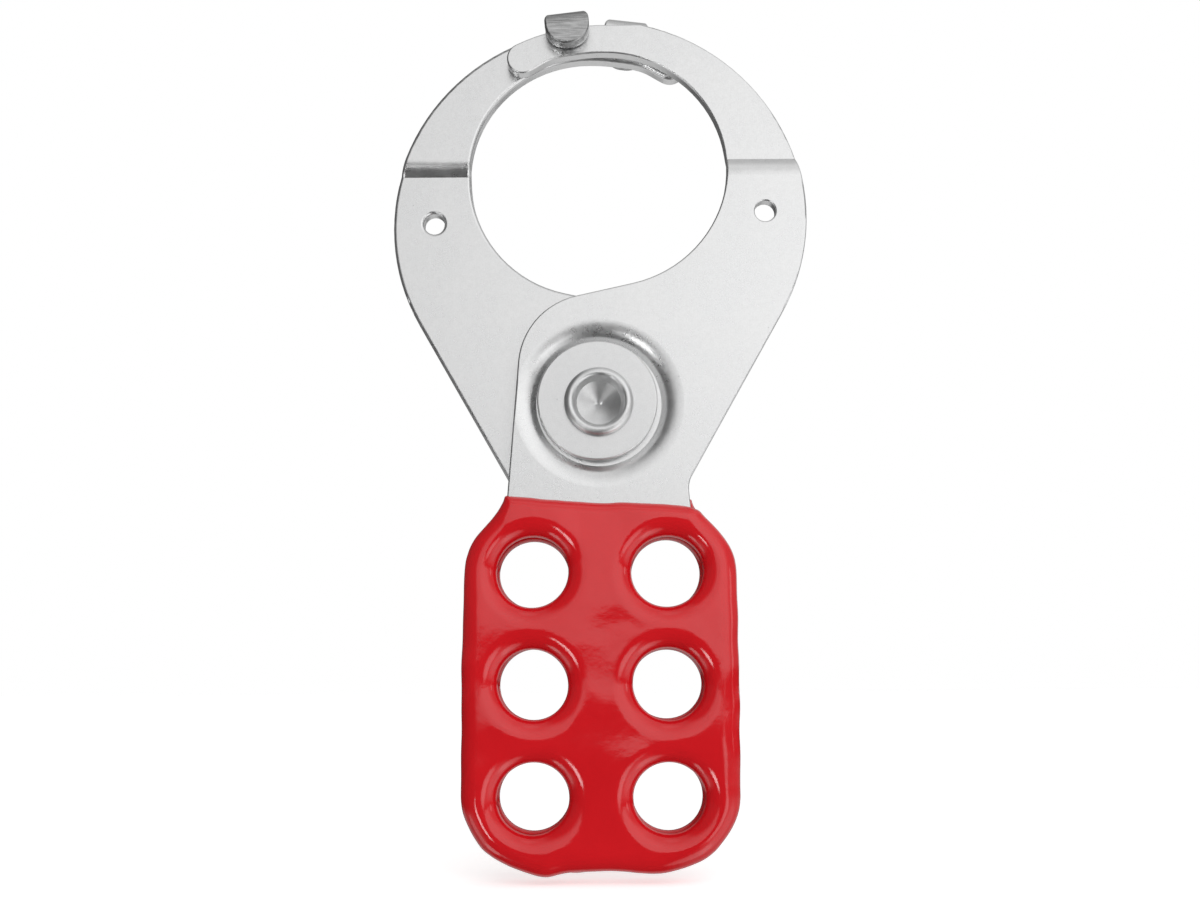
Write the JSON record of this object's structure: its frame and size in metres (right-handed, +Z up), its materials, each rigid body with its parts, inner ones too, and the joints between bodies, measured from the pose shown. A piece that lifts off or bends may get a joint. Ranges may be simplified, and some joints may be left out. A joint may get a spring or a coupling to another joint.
{
  "type": "lockout hasp",
  "caption": "Scissor lockout hasp: two riveted bent-steel jaws that hook over each other, with vinyl-dipped handles and padlock holes in line.",
  "frame": {"origin": "centre of the closed jaw opening, on the plane midway between the two jaws", "axes": "+Z up through the hooks, along the hasp's length; -Y out of the front jaw's face; +X to the front jaw's hook side"},
  "size_m": [0.0604, 0.0093, 0.1252],
  "materials": {
    "zinc_steel": "bright zinc plate, satin",
    "red_vinyl": "glossy dipped vinyl",
    "rivet_steel": "bright zinc plate, turned"
  },
  "bodies": {
    "pivot": {"pivot_rivet": "rivet_steel", "rivet_washer": "rivet_steel"},
    "front_jaw": {"front_jaw_plate": "zinc_steel", "front_handle_coating": "red_vinyl"},
    "back_jaw": {"back_jaw_plate": "zinc_steel", "back_handle_coating": "red_vinyl"}
  },
  "joints": [
    {"name": "front_jaw_swing", "type": "hinge", "parent": "pivot", "child": "front_jaw", "pos_m": [0, 0, -0.0344], "axis": [0, 1, 0], "range_deg": [0, 23]},
    {"name": "back_jaw_swing", "type": "hinge", "parent": "pivot", "child": "back_jaw", "pos_m": [0, 0, -0.0344], "axis": [0, -1, 0], "range_deg": [0, 23]}
  ]
}
